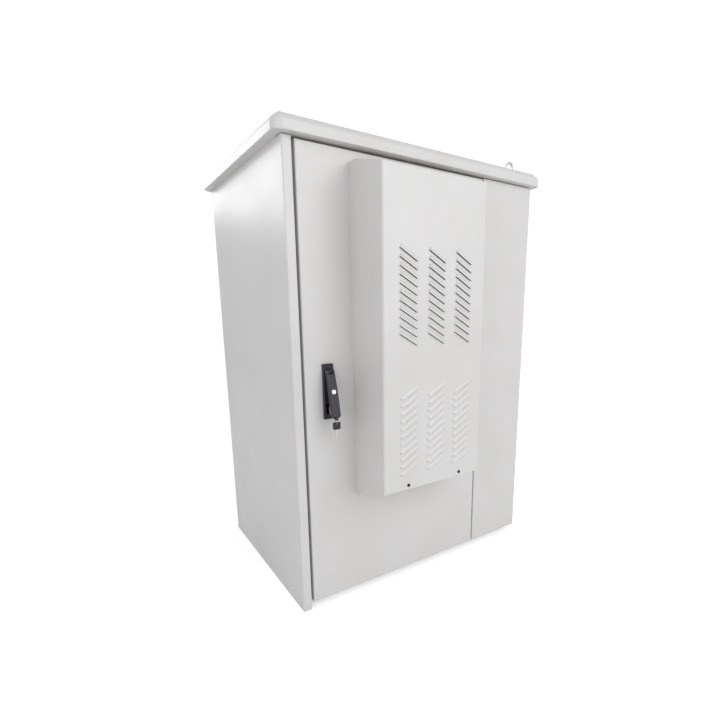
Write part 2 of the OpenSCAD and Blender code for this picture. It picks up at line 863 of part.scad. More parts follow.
module handle_base() {
  z1 = handle_z + handle_l;
  color(black) difference() {
    union() {
      pillow(handle_x - handle_w / 2, handle_x + handle_w / 2, handle_front, front, handle_z, z1, 3);
      along_y(handle_x, spin_z, front, front + 24, 20);
    }
    along_y(handle_x, spin_z, handle_front - cut, front + 25, spindle_d + 2 * run);
    block([handle_x - catch_w / 2 - 1.5, handle_front - cut, spin_z - catch_drop - catch_h / 2 - catch_play],
          [handle_x + catch_w / 2 + 1.5, front + cut, spin_z - catch_drop + catch_h / 2 + catch_play]);
  }
}

module handle_spindle() {
  color(black) difference() {
    union() {
      along_y(handle_x, spin_z, pivot_y, disc_y, spindle_d);
      intersection() {
        block([handle_x - hub_w / 2, pivot_y - 5, spin_z - 10],
              [handle_x + hub_w / 2, handle_front - near, spin_z + 10]);
        along_x(handle_x, pivot_y, spin_z, hub_w, 2 * lever_r - 0.2);
      }
    }
    along_x(handle_x, pivot_y, spin_z, hub_w + 2, lever_pin_d + 2 * run);
  }
}

module crank_disc() {
  color(zinc) translate([handle_x, disc_y, spin_z]) union() {
    along_y(0, 0, 0, disc_t, 2 * crank_r0);
    for (s = [-1, 1])
      along_y(s * crank_r * cos(crank_a), s * rod_lift, disc_t, disc_t + rod_t + 3, crank_pin_d);
  }
}

// A flat rod with a cross slot at its driven end; s is -1 for the upper rod, on the left
module rod(s, z0, z1, drive_z) {
  slot_h = crank_pin_d + 2 * pin_play;
  slot_l = crank_r * (1 - cos(crank_a)) + crank_pin_d + 2 * rod_end_play;
  slot_x = handle_x + s * crank_r * (1 + cos(crank_a)) / 2;
  x = handle_x + s * rod_side;
  difference() {
    block([x - rod_w / 2, rod_y, z0], [x + rod_w / 2, rod_y + rod_t, z1]);
    block([slot_x - slot_l / 2, rod_y - cut, drive_z - slot_h / 2],
          [slot_x + slot_l / 2, rod_y + rod_t + cut, drive_z + slot_h / 2]);
  }
}

module upper_rod() { color(zinc) rod(-1, spin_z - rod_lift - 12, upper_tip, spin_z - rod_lift); }
module lower_rod() { color(zinc) rod(1, lower_tip, spin_z + rod_lift + 12, spin_z + rod_lift); }

module guide_at(s, z) {
  x = handle_x + s * rod_side;
  difference() {
    block([handle_x - guide_w / 2, front + t, z], [handle_x + guide_w / 2, rod_y + rod_t + 6, z + guide_h]);
    block([x - rod_w / 2 - slide, rod_y - slide, z - cut],
          [x + rod_w / 2 + slide, rod_y + rod_t + slide, z + guide_h + cut]);
  }
}

module rod_guides() {
  color(black) union() {
    for (z = upper_guides) guide_at(-1, z);
    for (z = lower_guides) guide_at(1, z);
  }
}

// Everything on the lever is drawn with the lever shut, then swung out
module swung() {
  translate([handle_x, pivot_y, spin_z]) rotate([-lever_open, 0, 0]) children();
}

module lever_profile() {
  union() {
    circle(lever_r);
    polygon([[lever_r, 0], [lever_r, -lever_l], [-2, -lever_l], [-7, -lever_l + 5],
             [-9, -lever_l * 0.7], [-9, -lever_l * 0.35], [-lever_r, 0]]);
  }
}

module handle_lever() {
  w = lever_w / 2;
  color(black) swung() difference() {
    union() {
      intersection() {
        rotate([90, 0, 90]) linear_extrude(lever_w, center = true) lever_profile();
        union() {
          block([-w, -20, -lever_l * 0.6], [w, 20, 20]);
          translate([0, 20, -lever_l + w - 2]) rotate([90, 0, 0]) cylinder(r = w, h = 40);
          block([-w, -20, -lever_l + w - 2], [w, 20, -lever_l * 0.6 + cut]);
        }
      }
      translate([0, lug_t / 2, -lever_l - 1]) rotate([90, 0, 0]) cylinder(d = lug_d, h = lug_t);
    }
    block([-hub_w / 2 - slide, -20, -lever_r - 2], [hub_w / 2 + slide, 20, 20]);
    along_x(0, 0, 0, lever_w + 2, lever_pin_d + 2 * run);
    along_y(0, -lock_drop, -20, 20, lock_d + 2 * run);
    along_y(0, -ring_drop, -20, 20, ring_bore);
  }
}

module lever_pin() { color(zinc) swung() along_x(0, 0, 0, lever_w, lever_pin_d); }

module lever_catch() {
  w = catch_w / 2;
  h = catch_h / 2;
  color(nickel) swung() difference() {
    block([-w, lever_r, -catch_drop - h], [w, lever_r + catch_l, -catch_drop + h]);
    block([-w - cut, lever_r + catch_bar, -catch_drop - h + catch_bar],
          [w + cut, lever_r + catch_l - catch_bar, -catch_drop + h - catch_bar]);
  }
}

module lock_cylinder() {
  color(nickel) swung() difference() {
    along_y(0, -lock_drop, -10, lever_r, lock_d);
    block([-1, -11, -lock_drop - 4], [1, -5, -lock_drop + 4]);
  }
}

// The key hangs plumb from the ring, whatever the lever's angle
ring_y_mid = pivot_y + -ring_drop * sin(lever_open);
ring_z_top = spin_z - ring_drop * cos(lever_open);
ring_hang = ring_r + ring_wire / 2 - ring_bore / 2 + near;
key_z = ring_z_top - ring_hang;
key_hole = 5;
key_th = 5;
key_w = 24;
key_h = 22;
key_corner = 4;
blade_w = 7;
blade_t = 2;
blade_l = 26;
key_seat = sqrt(pow(ring_r, 2) - pow(key_th / 2, 2)) - ring_wire / 2 - 2 * near;
key_top = key_z - key_seat + 2.2;

module at_key() { translate([handle_x, ring_y_mid, 0]) children(); }

module key_ring() {
  color(nickel) at_key() translate([0, 0, key_z]) rotate([0, 90, 0])
    rotate_extrude() translate([ring_r, 0]) circle(d = ring_wire);
}

module key_head() {
  hw = key_w / 2;
  th = key_th / 2;
  z0 = key_top - key_h;
  color(black) at_key() difference() {
    union() {
      block([-hw, -th, z0 + key_corner], [hw, th, key_top - key_corner]);
      block([-hw + key_corner, -th, z0], [hw - key_corner, th, key_top]);
      for (x = [-hw + key_corner, hw - key_corner], z = [z0 + key_corner, key_top - key_corner])
        along_y(x, z, -th, th, 2 * key_corner);
    }
    along_y(0, key_z - key_seat - key_hole / 2, -th - cut, th + cut, key_hole);
    block([-blade_w / 2 - 1, -blade_t / 2, z0 - cut], [blade_w / 2 + 1, blade_t / 2, z0 + 8]);
  }
}

module key_blade() {
  z0 = key_top - key_h;
  color(nickel) at_key() union() {
    block([-blade_w / 2 - 1, -blade_t / 2, z0 - 2], [blade_w / 2 + 1, blade_t / 2, z0 + 8]);
    block([-blade_w / 2, -blade_t / 2, z0 - blade_l], [blade_w / 2, blade_t / 2, z0 - 2]);
  }
}

// ---- Rack and fittings ----

module rack_beams() {
  h = rail_t / 2;
  w = 40;
  color(zinc) for (y = [rail_y + 20, rail_y + rail_depth - 20], up = [0, 1]) {
    z0 = up ? rail_z1 + h : floor_z + h;
    z1 = z0 + beam_h - rail_t;
    lengthwise([[y + w / 2, z0], [y - w / 2 + h, z0], [y - w / 2 + h, z1], [y + w / 2, z1]],
               left + t, right - t, rail_t);
  }
}

// One upright rail; sx is -1 on the left, sy is 1 when its face looks to the front
module rack_rail(sx, y, sy) {
  holes_z0 = (rail_z0 + rail_z1 - rack_units * unit) / 2;
  translate([rack_x + sx * rail_in, y, 0]) union() {
    translate([0, sy > 0 ? rail_t : 0, 0]) rotate([90, 0, 0]) linear_extrude(rail_t) difference() {
      translate([sx > 0 ? 0 : -rail_face, rail_z0]) square([rail_face, rail_z1 - rail_z0]);
      for (u = [0 : rack_units - 1], dz = [6.35, 22.225, 38.1])
        translate([sx * rail_bore_in, holes_z0 + u * unit + dz]) square(9.5, center = true);
    }
    x0 = sx > 0 ? rail_face - rail_t : -rail_face;
    block([x0, sy > 0 ? 0 : -rail_leg + rail_t, rail_z0], [x0 + rail_t, sy > 0 ? rail_leg : rail_t, rail_z1]);
  }
}

module rail_front_left() { color(zinc) rack_rail(-1, rail_y, 1); }
module rail_front_right() { color(zinc) rack_rail(1, rail_y, 1); }
module rail_rear_left() { color(zinc) rack_rail(-1, rail_y + rail_depth - rail_t, -1); }
module rail_rear_right() { color(zinc) rack_rail(1, rail_y + rail_depth - rail_t, -1); }

module equipment_shelf() {
  w = rail_in - 3;
  z = rail_z0 + 40;
  color(zinc) difference() {
    union() {
      block([rack_x - w, rail_y - t, z], [rack_x + w, rail_y + 330, z + t]);
      block([rack_x - w, rail_y - t, z], [rack_x - w + t, rail_y + 330, z + 40]);
      block([rack_x + w - t, rail_y - t, z], [rack_x + w, rail_y + 330, z + 40]);
      block([rack_x - w - 22, rail_y - t, z], [rack_x + w + 22, rail_y, z + 40]);
    }
    for (i = [0 : 6], j = [0 : 3])
      block([rack_x - w + 35 + i * 56, rail_y + 40 + j * 70, z - cut],
            [rack_x - w + 43 + i * 56, rail_y + 90 + j * 70, z + t + cut]);
  }
}

ladder_y = rail_y + rail_depth / 2;
module cable_ladder() {
  w = 200;
  x1 = right - t;
  z0 = rail_z0 + 60;
  n = 10;
  color(zinc) union() {
    for (s = [-1, 1]) block([x1 - 32, ladder_y + s * w / 2 - 2, z0], [x1, ladder_y + s * w / 2 + 2, rail_z1 - 60]);
    for (i = [0 : n - 1])
      block([x1 - 32, ladder_y - w / 2, z0 + 40 + i * (rail_z1 - z0 - 160) / (n - 1)],
            [x1 - 20, ladder_y + w / 2, z0 + 60 + i * (rail_z1 - z0 - 160) / (n - 1)]);
  }
}

din_y0 = frame_y + 50;
din_l = 160;
din_z = 900;
module din_rail() {
  x1 = right - t;
  color(zinc) union() {
    block([x1 - 1, din_y0, din_z - 13], [x1, din_y0 + din_l, din_z + 13]);
    block([x1 - 7.5, din_y0, din_z - 13.5], [x1 - 1, din_y0 + din_l, din_z - 12.5]);
    block([x1 - 7.5, din_y0, din_z + 12.5], [x1 - 1, din_y0 + din_l, din_z + 13.5]);
    block([x1 - 7.5, din_y0, din_z - 17.5], [x1 - 6.5, din_y0 + din_l, din_z - 12.5]);
    block([x1 - 7.5, din_y0, din_z + 12.5], [x1 - 6.5, din_y0 + din_l, din_z + 17.5]);
  }
}

module terminal_blocks() {
  x1 = right - t - 7.5;
  color([0.45, 0.5, 0.55]) for (i = [0 : 7])
    block([x1 - 45, din_y0 + 10 + i * 16, din_z - 24], [x1, din_y0 + 22 + i * 16, din_z + 24]);
}

earth_z = floor_z + 70;
earth_x = rack_x;
module earth_bar() {
  y1 = back - t - 25;
  color(copper) difference() {
    block([earth_x - 150, y1 - 5, earth_z], [earth_x + 150, y1, earth_z + 25]);
    for (i = [-5 : 5]) along_y(earth_x + i * 24, earth_z + 12.5, y1 - 6, y1 + 1, 7);
  }
}

module earth_insulators() {
  color([0.55, 0.1, 0.08]) for (s = [-1, 1])
    along_y(earth_x + s * 132, earth_z + 12.5, back - t - 25, back - t, 20);
}

left_side_panel();
right_side_panel();
rear_panel();
rear_screws();
base_frame();
floor_plate();
gland_plate();
gland_grommets();
ceiling_plate();
roof_bearers();
roof_canopy();
lifting_eyes();
roof_bolts();
roof_nuts();
front_frame();
fixed_front_panel();
hinge_brackets();
hinge_screws();
rack_beams();
rail_front_left();
rail_front_right();
rail_rear_left();
rail_rear_right();
equipment_shelf();
cable_ladder();
din_rail();
terminal_blocks();
earth_bar();
earth_insulators();
door_panel();
door_gasket();
door_stiffeners();
hinge_lugs();
hinge_pins();
rod_guides();
document_pocket();
handle_base();
climate_cover();
cover_screws();
cover_posts();
climate_housing();
fan_plate();
exchanger_core();
outer_fan_frame();
inner_fan_frame();
climate_controller();
outer_fan_rotor();
inner_fan_rotor();
handle_spindle();
crank_disc();
upper_rod();
lower_rod();
handle_lever();
lever_pin();
lever_catch();
lock_cylinder();
key_ring();
key_head();
key_blade();
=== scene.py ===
import json
import math

import bmesh
import bpy
from mathutils import Matrix, Vector


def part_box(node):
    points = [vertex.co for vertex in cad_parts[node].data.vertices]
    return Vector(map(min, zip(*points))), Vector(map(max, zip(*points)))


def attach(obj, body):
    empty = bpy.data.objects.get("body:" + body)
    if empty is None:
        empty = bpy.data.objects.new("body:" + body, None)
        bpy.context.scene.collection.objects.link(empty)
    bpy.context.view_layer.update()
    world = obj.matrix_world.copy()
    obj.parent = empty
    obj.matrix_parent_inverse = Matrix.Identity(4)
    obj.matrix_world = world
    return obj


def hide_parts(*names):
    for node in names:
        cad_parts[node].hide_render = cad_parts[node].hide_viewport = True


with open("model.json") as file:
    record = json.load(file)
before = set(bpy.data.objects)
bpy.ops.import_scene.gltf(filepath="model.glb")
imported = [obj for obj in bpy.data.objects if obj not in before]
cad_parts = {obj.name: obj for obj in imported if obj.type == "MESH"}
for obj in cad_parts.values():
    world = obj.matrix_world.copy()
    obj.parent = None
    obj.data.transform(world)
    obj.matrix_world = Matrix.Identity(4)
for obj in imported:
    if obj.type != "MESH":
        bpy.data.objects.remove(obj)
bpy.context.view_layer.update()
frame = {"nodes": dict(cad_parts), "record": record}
nodes = frame["nodes"]
bodies_of = {n: b for b, ns in frame["record"]["behaviour"]["bodies"].items() for n in ns}
slots_of = {p["node"]: p["material_slot"] for p in frame["record"]["subparts"]}
mm = 0.001


# ---- Camera ----
# A wide lens stands close to the cabinet, off its left front corner and
# nearly half a metre below the roof, so that the corner post looks tall.
camera_at = Vector((-0.993, -1.579, 0.950))
camera_yaw, camera_pitch, camera_roll = 34.6, -11.78, -0.26
camera = bpy.data.objects.new("camera", bpy.data.cameras.new("camera"))
bpy.context.scene.collection.objects.link(camera)
camera.data.lens = 22.63
camera.data.shift_x = -0.0436
camera.data.shift_y = 0.0612
camera.data.clip_start = 0.05
turn = (Matrix.Rotation(math.radians(-camera_yaw), 4, "Z")
        @ Matrix.Rotation(math.radians(90 + camera_pitch), 4, "X")
        @ Matrix.Rotation(math.radians(camera_roll), 4, "Z"))
camera.matrix_world = Matrix.Translation(camera_at) @ turn
bpy.context.scene.camera = camera


# ---- Floor and studio light ----
# A white studio floor runs into a white sky. A broad lamp in front lights the
# door, and a far one behind on the left leaves its glow on the side sheet.
floor_half = 30
floor_glow = 0.42
sky_light = 0.7
sky_seen = 1.1


def node_material(name):
    made = bpy.data.materials.new(name)
    made.use_nodes = True
    tree = made.node_tree
    return made, tree, tree.nodes["Principled BSDF"]


def area_light(name, place, aim, size, watts):
    lamp = bpy.data.lights.new(name, "AREA")
    lamp.shape = "RECTANGLE"
    lamp.size, lamp.size_y = size
    lamp.energy = watts
    holder = bpy.data.objects.new(name, lamp)
    holder.location = place
    holder.rotation_euler = (Vector(aim) - Vector(place)).to_track_quat("-Z", "Y").to_euler()
    holder.visible_camera = False
    bpy.context.scene.collection.objects.link(holder)
    return holder


floor_mesh = bpy.data.meshes.new("studio_floor")
floor_corners = [(x * floor_half, y * floor_half, 0) for x, y in ((-1, -1), (1, -1), (1, 1), (-1, 1))]
floor_mesh.from_pydata(floor_corners, [], [(0, 1, 2, 3)])
floor = bpy.data.objects.new("studio_floor", floor_mesh)
bpy.context.scene.collection.objects.link(floor)
floor_paint, floor_tree, floor_shader = node_material("studio_floor")
floor_shader.inputs["Base Color"].default_value = (0.9, 0.9, 0.9, 1)
floor_shader.inputs["Roughness"].default_value = 0.9
floor_shader.inputs["Specular IOR Level"].default_value = 0.1
floor_shader.inputs["Emission Color"].default_value = (1, 1, 1, 1)
floor_path = floor_tree.nodes.new("ShaderNodeLightPath")
floor_lift = floor_tree.nodes.new("ShaderNodeMath")
floor_lift.operation = "MULTIPLY"
floor_lift.inputs[1].default_value = floor_glow
floor_tree.links.new(floor_path.outputs["Is Camera Ray"], floor_lift.inputs[0])
floor_tree.links.new(floor_lift.outputs[0], floor_shader.inputs["Emission Strength"])
floor_mesh.materials.append(floor_paint)

world = bpy.data.worlds.new("white_sky")
world.use_nodes = True
sky_nodes, sky_links = world.node_tree.nodes, world.node_tree.links
sky_nodes["Background"].inputs["Color"].default_value = (0.985, 0.985, 1, 1)
sky_nodes["Background"].inputs["Strength"].default_value = sky_light
seen = sky_nodes.new("ShaderNodeBackground")
seen.inputs["Color"].default_value = (1, 1, 1, 1)
seen.inputs["Strength"].default_value = sky_seen
path = sky_nodes.new("ShaderNodeLightPath")
either = sky_nodes.new("ShaderNodeMixShader")
sky_links.new(path.outputs["Is Camera Ray"], either.inputs["Fac"])
sky_links.new(sky_nodes["Background"].outputs[0], either.inputs[1])
sky_links.new(seen.outputs[0], either.inputs[2])
sky_links.new(either.outputs[0], sky_nodes["World Output"].inputs["Surface"])
bpy.context.scene.world = world
bpy.context.scene.view_settings.view_transform = "Standard"

area_light("front_lamp", (0.9, -3.4, 2.1), (0.1, -0.3, 0.8), (3.0, 2.4), 42)
area_light("left_fill", (-3.2, -1.8, 1.7), (-0.4, -0.2, 0.8), (2.0, 2.0), 15)
area_light("back_fill", (2.6, 3.4, 2.8), (0.0, 0.2, 0.8), (2.4, 2.0), 20)
glow = area_light("side_glow", (-1.35, 2.3, 2.15), (-0.5, 0.1, 1.3), (1.4, 0.9), 11)
glow.visible_diffuse = False


# ---- Powder coat ----
# Every outside sheet is steel, sprayed with one light warm grey powder and
# baked: a satin film with a fine orange peel and faint changes of tone.
coat_grey = (0.668, 0.660, 0.652, 1)
peel_scale = 420


def socketed_group(name, takes, gives):
    group = bpy.data.node_groups.new(name, "ShaderNodeTree")
    for label, kind, value in takes:
        socket = group.interface.new_socket(name=label, in_out="INPUT", socket_type=kind)
        socket.default_value = value
    for label, kind in gives:
        group.interface.new_socket(name=label, in_out="OUTPUT", socket_type=kind)
    return group, group.nodes.new("NodeGroupInput"), group.nodes.new("NodeGroupOutput")


def add(tree, kind, **values):
    made = tree.nodes.new(kind)
    for key, value in values.items():
        setattr(made, key, value)
    return made


def noise(tree, coords, scale, detail=2.0):
    texture = tree.nodes.new("ShaderNodeTexNoise")
    texture.inputs["Detail"].default_value = detail
    tree.links.new(coords, texture.inputs["Vector"])
    if isinstance(scale, (int, float)):
        texture.inputs["Scale"].default_value = scale
    else:
        tree.links.new(scale, texture.inputs["Scale"])
    return texture.outputs["Fac"]


def ramped(tree, value, low, high, out_low, out_high):
    ramp = tree.nodes.new("ShaderNodeMapRange")
    for label, number in (("From Min", low), ("From Max", high)):
        ramp.inputs[label].default_value = number
    for label, number in (("To Min", out_low), ("To Max", out_high)):
        if isinstance(number, (int, float)):
            ramp.inputs[label].default_value = number
        else:
            tree.links.new(number, ramp.inputs[label])
    tree.links.new(value, ramp.inputs["Value"])
    return ramp.outputs["Result"]


def blended(tree, amount, first, second):
    mix = add(tree, "ShaderNodeMix", data_type="RGBA")
    for label, value in (("Factor", amount), ("A", first), ("B", second)):
        tree.links.new(value, mix.inputs[label])
    return mix.outputs["Result"]


def bumped(tree, height, strength, distance):
    bump = tree.nodes.new("ShaderNodeBump")
    bump.inputs["Distance"].default_value = distance
    tree.links.new(height, bump.inputs["Height"])
    tree.links.new(strength, bump.inputs["Strength"])
    return bump.outputs["Normal"]


def film_group():
    group, takes, gives = socketed_group(
        "sprayed_film",
        [("Color", "NodeSocketColor", coat_grey), ("Peel Scale", "NodeSocketFloat", peel_scale),
         ("Peel Depth", "NodeSocketFloat", 0.12), ("Gloss Low", "NodeSocketFloat", 0.3),
         ("Gloss High", "NodeSocketFloat", 0.4), ("Tone", "NodeSocketFloat", 0.04)],
        [("Color", "NodeSocketColor"), ("Roughness", "NodeSocketFloat"), ("Normal", "NodeSocketVector")])
    coords = group.nodes.new("ShaderNodeTexCoord").outputs["Object"]
    peel = noise(group, coords, takes.outputs["Peel Scale"])
    cloud = noise(group, coords, 5.0, 3.0)
    tone = add(group, "ShaderNodeMath", operation="MULTIPLY")
    group.links.new(ramped(group, cloud, 0.35, 0.65, 0, 1), tone.inputs[0])
    group.links.new(takes.outputs["Tone"], tone.inputs[1])
    darker = add(group, "ShaderNodeMix", data_type="RGBA", blend_type="MULTIPLY")
    darker.inputs["Factor"].default_value = 1.0
    group.links.new(takes.outputs["Color"], darker.inputs["A"])
    darker.inputs["B"].default_value = (0.86, 0.86, 0.84, 1)
    group.links.new(blended(group, tone.outputs[0], takes.outputs["Color"], darker.outputs["Result"]),
                    gives.inputs["Color"])
    group.links.new(ramped(group, cloud, 0.3, 0.7, takes.outputs["Gloss Low"], takes.outputs["Gloss High"]),
                    gives.inputs["Roughness"])
    group.links.new(bumped(group, peel, takes.outputs["Peel Depth"], 0.4 * mm), gives.inputs["Normal"])
    return group


sprayed_film = film_group()


def surfaced(name, group, values, metal=0.0):
    made, tree, shader = node_material(name)
    holder = tree.nodes.new("ShaderNodeGroup")
    holder.node_tree = group
    for label, value in values.items():
        holder.inputs[label].default_value = value
    for label, target in (("Color", "Base Color"), ("Roughness", "Roughness"), ("Normal", "Normal")):
        tree.links.new(holder.outputs[label], shader.inputs[target])
    shader.inputs["Metallic"].default_value = metal
    return made


powder_coat = surfaced("light_grey_powder_coat", sprayed_film, {"Color": coat_grey, "Tone": 0.25})
coat_shader = powder_coat.node_tree.nodes["Principled BSDF"]
coat_shader.inputs["Coat Weight"].default_value = 0.12
coat_shader.inputs["Coat Roughness"].default_value = 0.25


# ---- Zinc, plated and galvanised ----
# Inside, the sheets are galvanised steel with a faint spangle, and the small
# fittings are bright zinc. Both dull unevenly from handling.
def metal_group():
    group, takes, gives = socketed_group(
        "worked_metal",
        [("Color", "NodeSocketColor", (0.62, 0.64, 0.66, 1)), ("Spangle", "NodeSocketFloat", 0.1),
         ("Spangle Scale", "NodeSocketFloat", 90.0), ("Gloss Low", "NodeSocketFloat", 0.28),
         ("Gloss High", "NodeSocketFloat", 0.45), ("Grain", "NodeSocketFloat", 0.08)],
        [("Color", "NodeSocketColor"), ("Roughness", "NodeSocketFloat"), ("Normal", "NodeSocketVector")])
    coords = group.nodes.new("ShaderNodeTexCoord").outputs["Object"]
    crystals = group.nodes.new("ShaderNodeTexVoronoi")
    group.links.new(coords, crystals.inputs["Vector"])
    group.links.new(takes.outputs["Spangle Scale"], crystals.inputs["Scale"])
    facet = group.nodes.new("ShaderNodeSeparateColor")
    group.links.new(crystals.outputs["Color"], facet.inputs["Color"])
    share = add(group, "ShaderNodeMath", operation="MULTIPLY")
    group.links.new(facet.outputs[0], share.inputs[0])
    group.links.new(takes.outputs["Spangle"], share.inputs[1])
    darker = add(group, "ShaderNodeMix", data_type="RGBA", blend_type="MULTIPLY")
    darker.inputs["Factor"].default_value = 1.0
    group.links.new(takes.outputs["Color"], darker.inputs["A"])
    darker.inputs["B"].default_value = (0.6, 0.62, 0.65, 1)
    group.links.new(blended(group, share.outputs[0], takes.outputs["Color"], darker.outputs["Result"]),
                    gives.inputs["Color"])
    smear = noise(group, coords, 14.0, 4.0)
    group.links.new(ramped(group, smear, 0.35, 0.65, takes.outputs["Gloss Low"], takes.outputs["Gloss High"]),
                    gives.inputs["Roughness"])
    grain = noise(group, coords, 900.0)
    group.links.new(bumped(group, grain, takes.outputs["Grain"], 0.2 * mm), gives.inputs["Normal"])
    return group


worked_metal = metal_group()
galvanised = surfaced("galvanised_sheet", worked_metal,
                      {"Color": (0.60, 0.62, 0.64, 1), "Spangle": 0.5, "Gloss Low": 0.32,
                       "Gloss High": 0.48}, 0.9)
bright_zinc = surfaced("bright_zinc", worked_metal,
                       {"Color": (0.72, 0.73, 0.75, 1), "Spangle": 0.0, "Gloss Low": 0.2,
                        "Gloss High": 0.34}, 1.0)


# ---- Folded side, back and ceiling sheets ----
# Two-millimetre steel, cut, folded round the corners and then sprayed. The
# left sheet turns the front corner as a post that reaches the ground.
bevel_angle = 35
crease_angle = 40
weld_distance = 0.002 * mm
flat_angle = 0.5


def baked(piece):
    graph = bpy.context.evaluated_depsgraph_get()
    mesh = bpy.data.meshes.new_from_object(piece.evaluated_get(graph))
    piece.modifiers.clear()
    piece.data = mesh
    return piece


def flattened(piece):
    piece.data.polygons.foreach_set("use_smooth", [True] * len(piece.data.polygons))
    piece.data.set_sharp_from_angle(angle=math.radians(crease_angle))
    weighted = piece.modifiers.new("flat_faces", "WEIGHTED_NORMAL")
    weighted.keep_sharp = True
    return baked(piece)


def placed(piece, body, slot, *stands_for):
    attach(piece, body)
    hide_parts(*stands_for)
    return piece


def cad_copy(node):
    piece = bpy.data.objects.new(node + "_finish", nodes[node].data.copy())
    bpy.context.scene.collection.objects.link(piece)
    clean = bmesh.new()
    clean.from_mesh(piece.data)
    bmesh.ops.remove_doubles(clean, verts=clean.verts, dist=weld_distance)
    bmesh.ops.dissolve_limit(clean, angle_limit=math.radians(flat_angle), verts=clean.verts,
                             edges=clean.edges)
    clean.to_mesh(piece.data)
    clean.free()
    if "custom_normal" in piece.data.attributes:
        piece.data.attributes.remove(piece.data.attributes["custom_normal"])
    return piece


def eased(node, material, radius, steps=2):
    piece = cad_copy(node)
    piece.data.materials.clear()
    piece.data.materials.append(material)
    bevel = piece.modifiers.new("eased_edges", "BEVEL")
    bevel.width = radius
    bevel.segments = steps
    bevel.limit_method = "ANGLE"
    bevel.angle_limit = math.radians(bevel_angle)
    bevel.use_clamp_overlap = True
    baked(piece)
    flattened(piece)
    return placed(piece, bodies_of[node], slots_of[node], node)


for sheet in ("left_side_panel", "right_side_panel", "rear_panel", "ceiling_plate"):
    eased(sheet, powder_coat, 0.5 * mm)


# ---- Roof ----
# One sheet drawn over a form: an upright edge, a soft shoulder, a sloping
# crown and a return lip underneath, with rounded corners all round.
roof_radius = 30 * mm
roof_skin = 2 * mm
roof_seat = 8 * mm
bearer_gap = 2 * mm
seat_radius = 2 * mm
tightest_corner = 0.4 * mm
corner_steps = 14
roof_profile = [(3, 0.0), (1.2, 0.5), (0.3, 1.6), (0, 3.2), (0, 24.5), (0.5, 27.5),
                (1.9, 30.3), (4.2, 32.9), (17.0, 43.9), (19.8, 46.0), (22.8, 47.4), (26.5, 48.0)]
roof_inside = [(26.8, 46.0), (18.4, 42.2), (5.7, 31.3), (2.0, 24.5), (2.0, 2.0)]


def loop_round(low, high, inset, z, radius):
    x0, y0, x1, y1 = low.x + inset, low.y + inset, high.x - inset, high.y - inset
    r = max(radius - inset, tightest_corner)
    ring = []
    for cx, cy, start in ((x1 - r, y0 + r, -90), (x1 - r, y1 - r, 0),
                          (x0 + r, y1 - r, 90), (x0 + r, y0 + r, 180)):
        for k in range(corner_steps + 1):
            angle = math.radians(start + 90 * k / corner_steps)
            ring.append(Vector((cx + r * math.cos(angle), cy + r * math.sin(angle), z)))
    return ring


def made_mesh(name, work, material):
    mesh = bpy.data.meshes.new(name)
    bmesh.ops.recalc_face_normals(work, faces=work.faces)
    work.to_mesh(mesh)
    work.free()
    mesh.materials.append(material)
    piece = bpy.data.objects.new(name, mesh)
    bpy.context.scene.collection.objects.link(piece)
    return flattened(piece)


def skinned(work, loops):
    rings = [[work.verts.new(p) for p in loop] for loop in loops]
    count = len(rings[0])
    for lower, upper in zip(rings, rings[1:]):
        for k in range(count):
            n = (k + 1) % count
            work.faces.new((lower[k], lower[n], upper[n], upper[k]))
    return rings


roof_low, roof_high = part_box("roof_canopy")
plate_low, plate_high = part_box("ceiling_plate")
bearer_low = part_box("roof_bearers")[0]
seat_low = Vector((plate_low.x + roof_seat, bearer_low.y - bearer_gap, 0))
seat_high = Vector((plate_high.x - roof_seat, plate_high.y - roof_seat, 0))
roof_work = bmesh.new()
outer, inner = [[loop_round(roof_low, roof_high, x * mm, roof_low.z + z * mm, roof_radius)
                 for x, z in outline] for outline in (roof_profile, roof_inside)]
outer.insert(0, loop_round(seat_low, seat_high, 0, roof_low.z, seat_radius))
inner.append(loop_round(seat_low, seat_high, 0, roof_low.z + roof_skin, seat_radius))
rings = skinned(roof_work, outer)
roof_work.faces.new(rings[-1])
back_rings = skinned(roof_work, inner)
roof_work.faces.new(back_rings[0])
for k in range(len(rings[0])):
    n = (k + 1) % len(rings[0])
    roof_work.faces.new((rings[0][k], rings[0][n], back_rings[-1][n], back_rings[-1][k]))
roof = made_mesh("roof_finish", roof_work, powder_coat)
placed(roof, "cabinet", "powder_coat", "roof_canopy")
for hidden in ("roof_bearers", "roof_nuts"):
    eased(hidden, galvanised, 0.3 * mm)


# ---- Lifting eyes and roof bolts ----
# Two forged eye bolts at opposite corners carry the crane's slings. Plain
# hexagon bolts close the other two holes.
eased("lifting_eyes", bright_zinc, 0.5 * mm)
eased("roof_bolts", bright_zinc, 0.5 * mm)


# ---- Back panel screws ----
# Six domed screws with a hexagon socket hold each edge of the back panel.
# They repeat on a grid of two columns and six rows.
screw_outline = [(0.0, -16.0), (2.6, -16.0), (3.0, -15.4), (3.0, 0.0), (5.7, 0.0), (6.0, 0.3), (6.0, 1.1),
                 (5.6, 1.5), (5.45, 1.6), (5.1, 2.5), (4.4, 3.15), (3.4, 3.45), (2.5, 3.5)]
screw_socket, screw_socket_depth, socket_taper = 2.3, 1.6, 0.96
screw_head_width, screw_height = 12, 3.5
screw_steps, socket_sides = 24, 6
screw_counts = (2, 6)


def spun(work, outline, steps, to_world):
    rings = []
    for r, along in outline:
        if r == 0:
            rings.append([work.verts.new(to_world(0, 0, along * mm))])
        else:
            rings.append([work.verts.new(to_world(r * mm * math.cos(math.tau * k / steps),
                                                  r * mm * math.sin(math.tau * k / steps), along * mm))
                          for k in range(steps)])
    for one, two in zip(rings, rings[1:]):
        for k in range(steps):
            n = (k + 1) % steps
            if len(one) == 1:
                work.faces.new((one[0], two[k], two[n]))
            else:
                work.faces.new((one[k], two[k], two[n], one[n]))
    return rings


